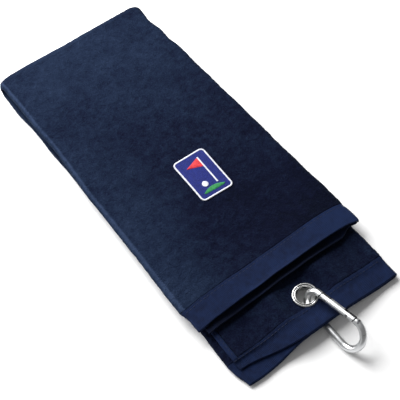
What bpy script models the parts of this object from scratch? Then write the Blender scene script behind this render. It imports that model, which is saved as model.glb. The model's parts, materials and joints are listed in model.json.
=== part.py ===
"""Golf towel: cotton cloth folded in thirds and then in half, with an
embroidered badge, a two-part grommet and a spring-gate carabiner.

Frame: metres, +Z up.  The origin is the centre of the lower half's underside.
+X runs along the towel from the half fold to the grommet end, +Y across it.
"""
import math

import bmesh
import bpy

for item in list(bpy.data.objects):
    bpy.data.objects.remove(item, do_unlink=True)

MM = 0.001
GAP = 0.3 * MM

# ---- folded cloth -----------------------------------------------------------
WIDTH = 132 * MM             # folded width, outside of both side folds
FLARE = 5 * MM               # each side of the flap stands this much wider at its end
LOWER_LENGTH = 316 * MM      # half fold to the grommet end
FLAP_LENGTH = 272.5 * MM     # half fold to the flap's end edge
PILE_T = 2.2 * MM            # velour terry cloth
PILE_PITCH = 2.5 * MM        # one folded layer to the next
HEM_T = 1.5 * MM             # flat-woven end hem, turned and stitched
HEM_PITCH = 1.8 * MM
LOWER_HEM_W = 16 * MM
FLAP_HEM_W = 18 * MM
PANEL_C_INSET = 9.5 * MM     # woven pile of the top panel, in from the side fold
PANEL_B_INSET = 5.2 * MM     # free edge of the tucked panel, in from its side fold
SIDE_HEM_W = 4 * MM
SIDE_HEM_T = 1.2 * MM
SEAM_W = 0.8 * MM
SEAM_T = 0.4 * MM
SEAM_INSET = 2 * MM          # seam, in from the hem's inner edge
FLAP_TUCKED_SHORT = 4 * MM   # at the flap's end its tucked panel stops short of the
FLAP_UNDER_LONG = 3.5 * MM   # top one, and its lowest panel runs on past it
SKEW_UNDER = 2.5 * MM        # lower left corner: under panels run on by this
SKEW_TOP = 9 * MM            # and the top panel stops short by this

FAR_X = -LOWER_LENGTH / 2
END_X = LOWER_LENGTH / 2
HALF_W = WIDTH / 2
FOLD_Z = 3 * PILE_PITCH      # half-fold axis: mid height of the stack
FOLD_X = FAR_X + FOLD_Z
FLAP_END_X = FAR_X + FLAP_LENGTH

# ---- grommet ----------------------------------------------------------------
GROMMET_X = END_X - 23.7 * MM
GROMMET_Y = 5.6 * MM
LIFT = 6 * MM                # cloth is lifted this far over the carabiner's spine
CLAMPED_T = 2.5 * MM         # three layers squeezed by the grommet
HOLE_R = 7.0 * MM
BARREL_R = 6.75 * MM
BORE_R = 6.3 * MM
FLANGE_R = 9.2 * MM
FLANGE_Z = 8.75 * MM
CREST_Z = 9.75 * MM
WASHER_Z = 5.3 * MM
WASHER_T = 0.5 * MM

# ---- carabiner --------------------------------------------------------------
WIRE_R = 2.5 * MM
TILT = math.radians(58)      # loop plane, turned up about the spine
NARROW_X = END_X - 16 * MM   # centre of the narrow bend
SPINE_Y = 4.2 * MM
NARROW_R = 7.0 * MM
WIDE_R = 10.4 * MM
BEND_SPACING = 33 * MM       # between the two bends' centres, along the spine
PIN_U = 24.5 * MM            # hinge pin, along the spine from the narrow bend
GATE_NOSE = 22.5 * MM        # gate, from its pin to the nose end
GATE_TAIL = 6.3 * MM         # gate, from its pin to the hinge end
GATE_CUT = math.radians(19)  # slant of the cut at each end of the gate
CUT_GAP = 0.5 * MM
TANG_T = 1.5 * MM
TANG_R = 2.3 * MM
SLOT_W = 2.1 * MM
HINGE_SLOT = 3.4 * MM
NOSE_SLOT = 15.8 * MM
TONGUE_TIP = 16.5 * MM
LATCH_X = 18.5 * MM
LATCH_Y = 0.6 * MM
LATCH_R = 0.55 * MM
PIN_R = 0.8 * MM
PIN_GAP = 0.15 * MM
SPRING_BORE_R = 1.25 * MM
SPRING_BORE_END = 13 * MM

# ---- badge ------------------------------------------------------------------
BADGE_X = FAR_X + 173.3 * MM
BADGE_Y = 8 * MM
BADGE_TURN = math.radians(-1.5)
BADGE_L = 39.6 * MM
BADGE_W = 26.4 * MM
BADGE_CORNER = 3 * MM
BORDER_W = 1.4 * MM
BADGE_Z = 2 * FOLD_Z + 0.1 * MM
BACKING_T = 0.5 * MM
FIELD_T = 0.4 * MM
BORDER_T = 0.9 * MM
MOTIF_T = 0.4 * MM
LAYER_GAP = 0.1 * MM

parts = bpy.data.collections.new("golf_towel")
helpers = bpy.data.collections.new("cutters")
bpy.context.scene.collection.children.link(parts)
bpy.context.scene.collection.children.link(helpers)


def material(name, colour, roughness, metallic=0.0):
    mat = bpy.data.materials.new(name)
    mat.use_nodes = True
    shader = mat.node_tree.nodes["Principled BSDF"]
    shader.inputs["Base Color"].default_value = (*colour, 1.0)
    shader.inputs["Roughness"].default_value = roughness
    shader.inputs["Metallic"].default_value = metallic
    return mat


PILE = material("navy_pile", (0.012, 0.018, 0.050), 0.95)
HEM = material("navy_hem", (0.013, 0.021, 0.062), 0.85)
THREAD = material("navy_thread", (0.016, 0.026, 0.075), 0.6)
BLUE = material("royal_blue_thread", (0.021, 0.032, 0.305), 0.6)
WHITE = material("white_thread", (0.80, 0.81, 0.84), 0.55)
RED = material("red_thread", (0.50, 0.02, 0.03), 0.55)
GREEN = material("green_thread", (0.03, 0.23, 0.07), 0.6)
BRIGHT = material("bright_steel", (0.72, 0.72, 0.71), 0.22, 1.0)
ALLOY = material("satin_aluminium", (0.70, 0.71, 0.72), 0.34, 1.0)
SPRING = material("spring_steel", (0.45, 0.45, 0.46), 0.35, 1.0)


def add_object(name, data, mat=None, collection=parts):
    thing = bpy.data.objects.new(name, data)
    collection.objects.link(thing)
    if mat:
        data.materials.append(mat)
    return thing


def mesh_object(name, bm, mat=None, collection=parts):
    data = bpy.data.meshes.new(name)
    bm.to_mesh(data)
    bm.free()
    return add_object(name, data, mat, collection)


def evaluated_mesh(thing):
    bpy.context.view_layer.update()
    graph = bpy.context.evaluated_depsgraph_get()
    return bpy.data.meshes.new_from_object(thing.evaluated_get(graph))


def replace_by_mesh(thing, mat):
    """Swap a modified mesh or curve for the plain mesh it makes."""
    data = evaluated_mesh(thing)
    bm = bmesh.new()
    bm.from_mesh(data)
    bmesh.ops.remove_doubles(bm, verts=bm.verts, dist=0.00001)
    bmesh.ops.recalc_face_normals(bm, faces=bm.faces)
    bm.to_mesh(data)
    bm.free()
    name = thing.name
    matrix = thing.matrix_world.copy()
    bpy.data.objects.remove(thing, do_unlink=True)
    data.materials.clear()
    result = add_object(name, data, mat)
    result.matrix_world = matrix
    return result


def smooth(thing, angle=35):
    thing.data.shade_smooth()
    thing.data.set_sharp_from_angle(angle=math.radians(angle))


def boolean(thing, other, operation="DIFFERENCE"):
    """Cut a piece with a helper body, or join the body to it."""
    other.hide_render = True
    other.display_type = "WIRE"
    mod = thing.modifiers.new(other.name, "BOOLEAN")
    mod.operation = operation
    mod.solver = "EXACT"
    mod.object = other


def box(name, low, high, mat=None, collection=helpers):
    bm = bmesh.new()
    bmesh.ops.create_cube(bm, size=1)
    for vert in bm.verts:
        for axis in range(3):
            vert.co[axis] = low[axis] if vert.co[axis] < 0 else high[axis]
    return mesh_object(name, bm, mat, collection)


def cylinder(name, radius, length, mat=None, collection=helpers, segments=32):
    bm = bmesh.new()
    bmesh.ops.create_cone(bm, cap_ends=True, segments=segments,
                          radius1=radius, radius2=radius, depth=length)
    return mesh_object(name, bm, mat, collection)


def turned(name, profile, mat, steps=48):
    """Turn a closed profile of (radius, height) pairs about Z."""
    bm = bmesh.new()
    corners = [bm.verts.new((r, 0, z)) for r, z in profile]
    for first, second in zip(corners, corners[1:] + corners[:1]):
        bm.edges.new((first, second))
    thing = mesh_object(name, bm, mat)
    screw = thing.modifiers.new("turn", "SCREW")
    screw.steps = steps
    screw.render_steps = steps
    screw.use_merge_vertices = True
    screw.merge_threshold = 0.00001
    result = replace_by_mesh(thing, mat)
    smooth(result)
    return result


def outline_slab(name, points, z_low, z_high, mat):
    """Raise a flat closed outline into a slab."""
    curve = bpy.data.curves.new(name, "CURVE")
    curve.dimensions = "2D"
    curve.fill_mode = "BOTH"
    curve.extrude = (z_high - z_low) / 2
    for loop in points:
        spline = curve.splines.new("POLY")
        spline.points.add(len(loop) - 1)
        for point, (x, y) in zip(spline.points, loop):
            point.co = (x, y, 0, 1)
        spline.use_cyclic_u = True
    thing = add_object(name, curve)
    thing.location.z = (z_low + z_high) / 2
    return replace_by_mesh(thing, mat)


def ease(value):
    value = min(max(value, 0.0), 1.0)
    return value * value * (3 - 2 * value)


def spread(start, stop, count):
    return [start + (stop - start) * i / count for i in range(count + 1)]


# ---- cloth ------------------------------------------------------------------
def fold_path(levels, thickness, columns, arc_steps=6):
    """Cross-section of the thirds fold: panel B, fold, panel A, fold, panel C."""
    z_a, z_b, z_c = levels
    r_b = abs(z_b - z_a) / 2
    r_c = abs(z_c - z_a) / 2
    up = 1 if z_c > z_a else -1
    left = -HALF_W + r_b + thickness / 2
    right = HALF_W - r_c - thickness / 2
    path = [(y, z_b, "B") for y in spread(HALF_W - PANEL_B_INSET, left, columns)]
    for turn in spread(0, math.pi, arc_steps)[1:]:
        path.append((left - r_b * math.sin(turn), (z_a + z_b) / 2 + up * r_b * math.cos(turn), "A"))
    path += [(y, z_a, "A") for y in spread(left, right, columns)[1:]]
    for turn in spread(0, math.pi, arc_steps)[1:]:
        path.append((right + r_c * math.sin(turn), (z_a + z_c) / 2 - up * r_c * math.cos(turn), "C"))
    path += [(y, z_c, "C") for y in spread(right, -HALF_W + PANEL_C_INSET, columns)[1:]]
    return path


def strip_path(y_low, y_high, z, columns):
    return [(y, z, "C") for y in spread(y_low, y_high, columns)]


def cloth_sheet(name, path, rows, thickness, mat, place, reshape=None):
    """Bend a flat grid along a folded path and give it thickness.

    place(y, z, panel, row) gives a point of the mid surface; reshape moves
    the thickened points.
    """
    columns = len(path) - 1
    bm = bmesh.new()
    bmesh.ops.create_grid(bm, x_segments=columns, y_segments=len(rows) - 1, size=1)
    for vert in bm.verts:
        column = round((vert.co.x + 1) / 2 * columns)
        row = round((vert.co.y + 1) / 2 * (len(rows) - 1))
        y, z, panel = path[column]
        vert.co = place(y, z, panel, rows[row])
    thing = mesh_object(name, bm, mat)
    solid = thing.modifiers.new("thickness", "SOLIDIFY")
    solid.thickness = thickness
    solid.offset = 0
    solid.use_even_offset = True
    thing = replace_by_mesh(thing, mat)
    if reshape:
        for vert in thing.data.vertices:
            vert.co = reshape(*vert.co)
    smooth(thing, 50)
    return thing


def straight(y, z, panel, row):
    return row, y, z


def clamp_share(x, y, stack):
    """Share of its free thickness that the stack keeps near the grommet."""
    reach = math.hypot(x - GROMMET_X, y - GROMMET_Y)
    freed = ease((reach - 10.5 * MM) / (14 * MM))
    return CLAMPED_T / stack + (1 - CLAMPED_T / stack) * freed


def lift(x, y):
    """Height of the cloth's underside over the carabiner's spine."""
    along = ease((x - (GROMMET_X - 25 * MM)) / (15 * MM))
    low_side = ease((y + 38 * MM) / (22 * MM))
    high_side = ease((43 * MM - y) / (22 * MM))
    return LIFT * along * low_side * high_side


PILE_STACK = 2 * PILE_PITCH + PILE_T
HEM_STACK = 2 * HEM_PITCH + HEM_T


def over_spine(stack):
    def reshape(x, y, z):
        return x, y, z * clamp_share(x, y, stack) + lift(x, y)
    return reshape


def lower_hem_place(y, z, panel, row):
    side = ease((-10 * MM - y) / (50 * MM))
    skew = -SKEW_TOP * side if panel == "C" else SKEW_UNDER * side
    return END_X - LOWER_HEM_W + GAP / 2 + row * (LOWER_HEM_W - GAP / 2 + skew), y, z


def flap_hem_place(y, z, panel, row):
    right = ease((y - 50 * MM) / (12 * MM))
    left = ease((-y - 50 * MM) / (12 * MM))
    short = 0
    if panel == "B":
        short = FLAP_TUCKED_SHORT * (1 - left)
    elif panel == "C":
        short = -FLAP_UNDER_LONG * (1 - right)
    return FLAP_END_X - FLAP_HEM_W + GAP / 2 + row * (FLAP_HEM_W - GAP / 2 - short), y, z


def flared(x, y, z):
    """The flap widens evenly from the half fold to its end."""
    along = (x - FOLD_X) / (FLAP_END_X - FLAP_HEM_W - FOLD_X)
    return x, y * (1 + min(along, 1) * FLARE / HALF_W), z


def flap_hem_rest(x, y, z):
    """The flap's hem is as wide as its pile end, and lies over the lifted cloth."""
    x, y, z = flared(x, y, z)
    return x, y, z + lift(x, y)


def round_half_fold(y, z, panel, row):
    radius = FOLD_Z - z
    return (FOLD_X - GAP / 2 - radius * math.sin(row), y, FOLD_Z - radius * math.cos(row))


lower_levels = (PILE_T / 2, PILE_T / 2 + PILE_PITCH, PILE_T / 2 + 2 * PILE_PITCH)
flap_levels = tuple(2 * FOLD_Z - z for z in lower_levels)
hem_levels = (HEM_T / 2 + 0.1 * MM, HEM_T / 2 + 0.1 * MM + HEM_PITCH,
              HEM_T / 2 + 0.1 * MM + 2 * HEM_PITCH)
flap_hem_levels = tuple(2 * FOLD_Z - 0.4 * MM - HEM_T / 2 - PILE_PITCH * i for i in range(3))

lower_rows = [FOLD_X + GAP / 2, 0.0] + spread(GROMMET_X - 28 * MM, END_X - LOWER_HEM_W - GAP / 2, 10)
cloth_sheet("lower_cloth", fold_path(lower_levels, PILE_T, 26), lower_rows, PILE_T,
            PILE, straight, over_spine(PILE_STACK))
cloth_sheet("half_fold_cloth", fold_path(lower_levels, PILE_T, 4), spread(0, math.pi, 12),
            PILE_T, PILE, round_half_fold)
cloth_sheet("flap_cloth", fold_path(flap_levels, PILE_T, 4),
            [FOLD_X + GAP / 2, FLAP_END_X - FLAP_HEM_W - GAP / 2], PILE_T, PILE, straight, flared)
cloth_sheet("lower_end_hem", fold_path(hem_levels, HEM_T, 30), spread(0, 1, 8), HEM_T,
            HEM, lower_hem_place, over_spine(HEM_STACK))
cloth_sheet("flap_end_hem", fold_path(flap_hem_levels, HEM_T, 20), spread(0, 1, 6), HEM_T,
            HEM, flap_hem_place, flap_hem_rest)

# narrow turned hem and its seam along the top panel's free side edge
edge_y = -HALF_W + PANEL_C_INSET - GAP
lower_side_z = lower_levels[2]
cloth_sheet("lower_side_hem", strip_path(edge_y, edge_y - SIDE_HEM_W, lower_side_z, 2),
            lower_rows, SIDE_HEM_T, HEM, straight, over_spine(PILE_STACK))
cloth_sheet("flap_side_hem", strip_path(edge_y, edge_y - SIDE_HEM_W, flap_levels[2], 2),
            [FOLD_X + GAP / 2, FLAP_END_X - FLAP_HEM_W - GAP / 2], SIDE_HEM_T, HEM, straight, flared)
seam_y = edge_y - SIDE_HEM_W / 2
seam_z = lower_side_z + SIDE_HEM_T / 2 + GAP + SEAM_T / 2
cloth_sheet("lower_side_seam", strip_path(seam_y, seam_y - SEAM_W, seam_z, 1),
            lower_rows, SEAM_T, THREAD, straight, over_spine(PILE_STACK))

# seam thread across each end hem, on its visible face
hem_top = hem_levels[2] + HEM_T / 2 + GAP + SEAM_T / 2
lower_seam_x = END_X - LOWER_HEM_W + SEAM_INSET
cloth_sheet("lower_end_seam", strip_path(-HALF_W + 11 * MM, HALF_W - 5 * MM, hem_top, 44),
            [lower_seam_x, lower_seam_x + SEAM_W], SEAM_T, THREAD, straight, over_spine(HEM_STACK))
flap_hem_top = flap_hem_levels[0] + HEM_T / 2 + LAYER_GAP + SEAM_T / 2
flap_seam_x = FLAP_END_X - FLAP_HEM_W + SEAM_INSET
cloth_sheet("flap_end_seam", strip_path(-HALF_W + 5 * MM, HALF_W - 5 * MM, flap_hem_top, 4),
            [flap_seam_x, flap_seam_x + SEAM_W], SEAM_T, THREAD, straight, flap_hem_rest)

# hole for the grommet through all three layers
punch = cylinder("grommet_punch", HOLE_R, 30 * MM, segments=40)
punch.location = (GROMMET_X, GROMMET_Y, LIFT)
boolean(bpy.data.objects["lower_cloth"], punch)

# ---- grommet ----------------------------------------------------------------
eyelet = turned("grommet_eyelet", [
    (7.0 * MM, CREST_Z - 0.08 * MM), (7.7 * MM, CREST_Z), (8.4 * MM, CREST_Z - 0.15 * MM),
    (8.95 * MM, CREST_Z - 0.45 * MM), (FLANGE_R, FLANGE_Z + 0.2 * MM), (FLANGE_R, FLANGE_Z),
    (BARREL_R, FLANGE_Z), (BARREL_R, WASHER_Z + 0.1 * MM), (BORE_R, WASHER_Z + 0.1 * MM),
    (BORE_R, FLANGE_Z + 0.1 * MM), (6.45 * MM, FLANGE_Z + 0.55 * MM)], BRIGHT)
eyelet.location = (GROMMET_X, GROMMET_Y, 0)
washer = turned("grommet_washer", [
    (HOLE_R, WASHER_Z + WASHER_T), (FLANGE_R, WASHER_Z + WASHER_T),
    (FLANGE_R, WASHER_Z), (HOLE_R, WASHER_Z)], BRIGHT)
washer.location = (GROMMET_X, GROMMET_Y, 0)

# ---- carabiner --------------------------------------------------------------
# Loop frame: X along the spine, Y across the loop towards the gate, Z its normal.
loop = bpy.data.objects.new("loop_frame", None)
parts.objects.link(loop)
loop.location = (NARROW_X, SPINE_Y, WIRE_R)
loop.rotation_euler = (TILT, 0, 0)

centre_distance = math.hypot(BEND_SPACING, WIDE_R - NARROW_R)
taper = math.asin((WIDE_R - NARROW_R) / centre_distance) + math.atan2(WIDE_R - NARROW_R, BEND_SPACING)
gate_normal = math.pi / 2 + taper
narrow_tangent = (NARROW_R * math.cos(gate_normal), NARROW_R + NARROW_R * math.sin(gate_normal))
wide_tangent = (BEND_SPACING + WIDE_R * math.cos(gate_normal), WIDE_R + WIDE_R * math.sin(gate_normal))
pin_v = narrow_tangent[1] + (PIN_U - narrow_tangent[0]) * math.tan(taper)

# Gate frame: origin on the hinge pin, X towards the nose, Y into the loop.
gate_frame = bpy.data.objects.new("gate_frame", None)
parts.objects.link(gate_frame)
gate_frame.parent = loop
gate_frame.location = (PIN_U, pin_v, 0)
gate_frame.rotation_euler = (0, 0, math.pi + taper)


def on_gate_line(distance):
    return (PIN_U - distance * math.cos(taper), pin_v - distance * math.sin(taper))


def wire(name, points, radius, mat, resolution=3):
    curve = bpy.data.curves.new(name, "CURVE")
    curve.dimensions = "3D"
    curve.bevel_depth = radius
    curve.bevel_resolution = resolution
    curve.use_fill_caps = True
    spline = curve.splines.new("POLY")
    spline.points.add(len(points) - 1)
    for point, co in zip(spline.points, points):
        point.co = (*co, 1)
    return replace_by_mesh(add_object(name, curve), mat)


body_path = [on_gate_line(-GATE_TAIL + 3 * MM)]
for turn in spread(gate_normal, -math.pi / 2, 20):
    body_path.append((BEND_SPACING + WIDE_R * math.cos(turn), WIDE_R + WIDE_R * math.sin(turn)))
body_path.append((BEND_SPACING / 2, 0))
for turn in spread(-math.pi / 2, gate_normal - 2 * math.pi, 18):
    body_path.append((NARROW_R * math.cos(turn), NARROW_R + NARROW_R * math.sin(turn)))
body_path.append(on_gate_line(GATE_NOSE - 1.5 * MM))
body = wire("carabiner_body", [(u, v, 0) for u, v in body_path], WIRE_R, ALLOY)
body.parent = loop
smooth(body)


def in_gate_frame(thing, location=(0, 0, 0), rotation=(0, 0, 0)):
    thing.parent = gate_frame
    thing.location = location
    thing.rotation_euler = rotation
    return thing


BIG = 12 * MM
# slanted ends of the body, clear of the gate between them
opening = box("gate_opening", (-GATE_TAIL - CUT_GAP, -BIG, -BIG), (GATE_NOSE + CUT_GAP, BIG, BIG))
for vert in opening.data.vertices:
    vert.co.x += math.tan(GATE_CUT) * (vert.co.y + WIRE_R)
in_gate_frame(opening)
boolean(body, opening)

tang = cylinder("hinge_tang", TANG_R, TANG_T, segments=32)
in_gate_frame(tang)
boolean(body, tang, "UNION")
tang_root = box("hinge_tang_root", (-GATE_TAIL - 2.5 * MM, -1.7 * MM, -TANG_T / 2),
                (0, 1.7 * MM, TANG_T / 2))
in_gate_frame(tang_root)
boolean(body, tang_root, "UNION")
tongue = box("nose_tongue", (TONGUE_TIP, -2.3 * MM, -TANG_T / 2),
             (GATE_NOSE + 2.5 * MM, 1.6 * MM, TANG_T / 2))
in_gate_frame(tongue)
boolean(body, tongue, "UNION")
notch = box("latch_notch", (LATCH_X - LATCH_R - GAP, LATCH_Y - LATCH_R - GAP, -BIG / 4),
            (LATCH_X + LATCH_R + GAP, BIG / 2, BIG / 4))
in_gate_frame(notch)
boolean(body, notch)
pin_hole = cylinder("tang_pin_hole", PIN_R + PIN_GAP, BIG, segments=24)
in_gate_frame(pin_hole)
boolean(body, pin_hole)

gate = cylinder("carabiner_gate", WIRE_R, GATE_NOSE + GATE_TAIL + 6 * MM, ALLOY, parts, segments=32)
for vert in gate.data.vertices:
    vert.co.x, vert.co.z = vert.co.z, -vert.co.x
    vert.co.x += (GATE_NOSE - GATE_TAIL) / 2
in_gate_frame(gate)
smooth(gate)
for name, start, stop in (("gate_tail_trim", -GATE_TAIL - BIG, -GATE_TAIL),
                          ("gate_nose_trim", GATE_NOSE, GATE_NOSE + BIG)):
    trim = box(name, (start, -BIG, -BIG), (stop, BIG, BIG))
    for vert in trim.data.vertices:
        vert.co.x += math.tan(GATE_CUT) * (vert.co.y + WIRE_R)
    boolean(gate, in_gate_frame(trim))
for name, start, stop in (("hinge_slot", -GATE_TAIL - BIG, HINGE_SLOT),
                          ("nose_slot", NOSE_SLOT, GATE_NOSE + BIG)):
    slot = box(name, (start, -BIG, -SLOT_W / 2), (stop, BIG, SLOT_W / 2))
    boolean(gate, in_gate_frame(slot))
for name, where, radius in (("gate_pin_hole", (0, 0, 0), PIN_R + PIN_GAP),
                            ("gate_latch_hole", (LATCH_X, LATCH_Y, 0), LATCH_R + PIN_GAP)):
    hole = cylinder(name, radius, BIG, segments=24)
    boolean(gate, in_gate_frame(hole, where))
bore_length = SPRING_BORE_END - HINGE_SLOT + 1 * MM
bore = cylinder("spring_bore", SPRING_BORE_R, bore_length, segments=24)
in_gate_frame(bore, (SPRING_BORE_END - bore_length / 2, 0, 0), (0, math.pi / 2, 0))
boolean(gate, bore)

hinge_pin = cylinder("gate_hinge_pin", PIN_R, 2 * WIRE_R + 0.1 * MM, BRIGHT, parts, 24)
smooth(in_gate_frame(hinge_pin))
latch_pin = cylinder("gate_latch_pin", LATCH_R, 2 * WIRE_R - 0.5 * MM, BRIGHT, parts, 20)
smooth(in_gate_frame(latch_pin, (LATCH_X, LATCH_Y, 0)))

PLUNGER_TIP = TANG_R + GAP
plunger = turned("gate_plunger", [
    (0.35 * MM, 4.2 * MM), (1.0 * MM, 4.2 * MM), (1.0 * MM, 3.2 * MM), (0.8 * MM, 3.0 * MM),
    (0.8 * MM, 0.4 * MM), (0.35 * MM, 0)], SPRING, 24)
in_gate_frame(plunger, (PLUNGER_TIP, 0, 0), (0, math.pi / 2, 0))

SPRING_START = PLUNGER_TIP + 4.5 * MM
SPRING_TURNS = 7
SPRING_STEPS = 12
COIL_R = 0.8 * MM
COIL_WIRE_R = 0.18 * MM
coil = []
for along in spread(SPRING_START + GAP, SPRING_BORE_END - GAP, SPRING_TURNS * SPRING_STEPS):
    turn = 2 * math.pi * len(coil) / SPRING_STEPS
    coil.append((along, COIL_R * math.cos(turn), COIL_R * math.sin(turn)))
spring = wire("gate_spring", coil, COIL_WIRE_R, SPRING, 1)
in_gate_frame(spring)
smooth(spring, 60)


# ---- badge ------------------------------------------------------------------
badge = bpy.data.objects.new("badge_frame", None)
parts.objects.link(badge)
badge.location = (BADGE_X, BADGE_Y, BADGE_Z)
badge.rotation_euler = (0, 0, BADGE_TURN)


def rounded(length, width, radius, steps=6):
    points = []
    for sx, sy, start in ((1, 1, 0), (-1, 1, 90), (-1, -1, 180), (1, -1, 270)):
        for turn in spread(math.radians(start), math.radians(start + 90), steps):
            points.append((sx * (length / 2 - radius) + radius * math.cos(turn),
                           sy * (width / 2 - radius) + radius * math.sin(turn)))
    return points


def badge_slab(name, loops, low, high, mat):
    slab = outline_slab(name, loops, low, high, mat)
    slab.parent = badge
    return slab


field_z = BACKING_T + LAYER_GAP
motif_z = field_z + FIELD_T + LAYER_GAP
field_l = BADGE_L - 2 * BORDER_W - 2 * LAYER_GAP
field_w = BADGE_W - 2 * BORDER_W - 2 * LAYER_GAP
badge_slab("badge_backing", [rounded(BADGE_L - 1 * MM, BADGE_W - 1 * MM, BADGE_CORNER)],
           0, BACKING_T, BLUE)
badge_slab("badge_field", [rounded(field_l, field_w, BADGE_CORNER - BORDER_W)],
           field_z, field_z + FIELD_T, BLUE)
badge_slab("badge_border", [rounded(BADGE_L, BADGE_W, BADGE_CORNER),
                            rounded(BADGE_L - 2 * BORDER_W, BADGE_W - 2 * BORDER_W,
                                    BADGE_CORNER - BORDER_W + LAYER_GAP)],
           field_z, field_z + BORDER_T, WHITE)

# plain golf motif: flagstick, pennant, ball and green (its top is towards -X)
STICK_Y = 5.2 * MM
STICK_W = 1.1 * MM
STICK_TOP = -14.6 * MM
STICK_FOOT = 11.4 * MM
PENNANT_L = 9 * MM
PENNANT_REACH = 11.5 * MM
BALL_R = 2.4 * MM
BALL_X = 8.2 * MM
BALL_Y = -3.6 * MM
GREEN_X = 12 * MM
GREEN_HALF = 9 * MM
GREEN_DEPTH = 3 * MM
badge_slab("badge_flagstick",
           [[(STICK_TOP, STICK_Y - STICK_W / 2), (STICK_FOOT, STICK_Y - STICK_W / 2),
             (STICK_FOOT, STICK_Y + STICK_W / 2), (STICK_TOP, STICK_Y + STICK_W / 2)]],
           motif_z, motif_z + MOTIF_T, WHITE)
hoist = STICK_Y - STICK_W / 2 - LAYER_GAP
badge_slab("badge_pennant",
           [[(STICK_TOP, hoist), (STICK_TOP + PENNANT_L, hoist),
             (STICK_TOP + PENNANT_L / 2, hoist - PENNANT_REACH)]],
           motif_z, motif_z + MOTIF_T, RED)
badge_slab("badge_ball",
           [[(BALL_X + BALL_R * math.cos(a), BALL_Y + BALL_R * math.sin(a))
             for a in spread(0, 2 * math.pi, 24)[:-1]]],
           motif_z, motif_z + MOTIF_T, WHITE)
green_edge = [(GREEN_X + GREEN_DEPTH * (y / GREEN_HALF) ** 2, y)
              for y in spread(-GREEN_HALF, GREEN_HALF, 14)]
badge_slab("badge_green", [green_edge + [(GREEN_X + GREEN_DEPTH + 1 * MM, GREEN_HALF - 1.4 * MM),
                                         (GREEN_X + GREEN_DEPTH + 1 * MM, 1.4 * MM - GREEN_HALF)]],
           motif_z, motif_z + MOTIF_T, GREEN)
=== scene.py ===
"""Looks of the golf towel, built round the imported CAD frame.

Units are metres, +Z up, +X towards the grommet end, as in the frame.  Field
functions work in millimetres, because cloth is easier to read that way.
"""
import json
import math

import bmesh
import bpy
import numpy as np
from mathutils import Matrix, Vector


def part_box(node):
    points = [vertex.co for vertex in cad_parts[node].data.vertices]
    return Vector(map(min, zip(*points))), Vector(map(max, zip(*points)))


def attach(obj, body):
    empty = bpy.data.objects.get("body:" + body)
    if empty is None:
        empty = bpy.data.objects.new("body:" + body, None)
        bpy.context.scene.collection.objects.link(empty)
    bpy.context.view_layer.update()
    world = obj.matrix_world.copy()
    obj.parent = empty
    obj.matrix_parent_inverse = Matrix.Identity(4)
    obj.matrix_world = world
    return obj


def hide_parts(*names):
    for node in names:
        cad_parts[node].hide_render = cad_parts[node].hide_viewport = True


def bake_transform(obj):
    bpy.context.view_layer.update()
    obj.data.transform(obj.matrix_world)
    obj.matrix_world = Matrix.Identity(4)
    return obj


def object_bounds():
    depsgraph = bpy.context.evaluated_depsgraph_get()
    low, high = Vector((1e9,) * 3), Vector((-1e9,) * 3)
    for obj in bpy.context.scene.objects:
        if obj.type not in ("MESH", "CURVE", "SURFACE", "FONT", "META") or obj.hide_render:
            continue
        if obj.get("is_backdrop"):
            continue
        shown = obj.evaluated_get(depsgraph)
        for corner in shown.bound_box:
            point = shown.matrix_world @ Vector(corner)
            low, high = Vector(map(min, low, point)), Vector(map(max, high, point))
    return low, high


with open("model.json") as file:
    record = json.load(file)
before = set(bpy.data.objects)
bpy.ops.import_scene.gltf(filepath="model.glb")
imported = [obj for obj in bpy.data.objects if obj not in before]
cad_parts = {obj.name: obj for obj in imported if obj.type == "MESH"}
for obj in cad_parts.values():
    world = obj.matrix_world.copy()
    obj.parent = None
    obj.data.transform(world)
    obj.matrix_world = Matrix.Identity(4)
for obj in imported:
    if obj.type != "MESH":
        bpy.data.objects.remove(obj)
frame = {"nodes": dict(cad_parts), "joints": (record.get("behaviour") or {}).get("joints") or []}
cad_low, cad_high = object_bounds()

MM = 0.001
scene = bpy.context.scene
joints = {joint["name"]: joint for joint in frame["joints"]}


def added(name, data):
    """A new object of the scene that shows this data."""
    thing = bpy.data.objects.new(name, data)
    scene.collection.objects.link(thing)
    return thing


# ---- camera, light and floor
camera = added("camera", bpy.data.cameras.new("camera"))
scene.camera = camera
camera.data.sensor_width = 36
camera.data.lens = 90.17
camera.location = (0.36314, -0.21889, 0.60980)
camera.rotation_euler = [math.radians(a) for a in (33.376, 2.577, 53.407)]
scene.view_settings.view_transform = "Standard"


def soft_light(name, place, aim, size, watts):
    """A square studio softbox at place, turned towards aim."""
    lamp = bpy.data.lights.new(name, "AREA")
    lamp.shape = "SQUARE"
    lamp.size = size
    lamp.energy = watts
    thing = added(name, lamp)
    thing.location = place
    thing.rotation_euler = (Vector(aim) - Vector(place)).to_track_quat("-Z", "Y").to_euler()


soft_light("key", (-0.55, -0.07, 0.62), (0.05, 0.0, 0.0), 0.7, 16.0)
soft_light("low_fill", (-0.60, -0.70, 0.30), (-0.05, 0.0, 0.0), 0.4, 4.0)

world = bpy.data.worlds.new("studio")
scene.world = world
world.use_nodes = True
sky = world.node_tree.nodes["Background"].inputs
sky["Color"].default_value = (1, 1, 1, 1)
sky["Strength"].default_value = 0.25


# ---- materials
CREST_U = 131.6  # flat distance from the tucked edge to the left fold's crest
# half width and strength of the painted highlight along that crest
CREST_HIGHLIGHT_W, CREST_HIGHLIGHT_GAIN = 1.9, 0.34
# painted light falling off along the towel from the half fold: its slope, its cap and the level
# taken off the tone
FALLOFF_SLOPE, FALLOFF_MOST, PAINTED_LIGHT_REST = -1.5, 0.155, 0.31


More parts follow.
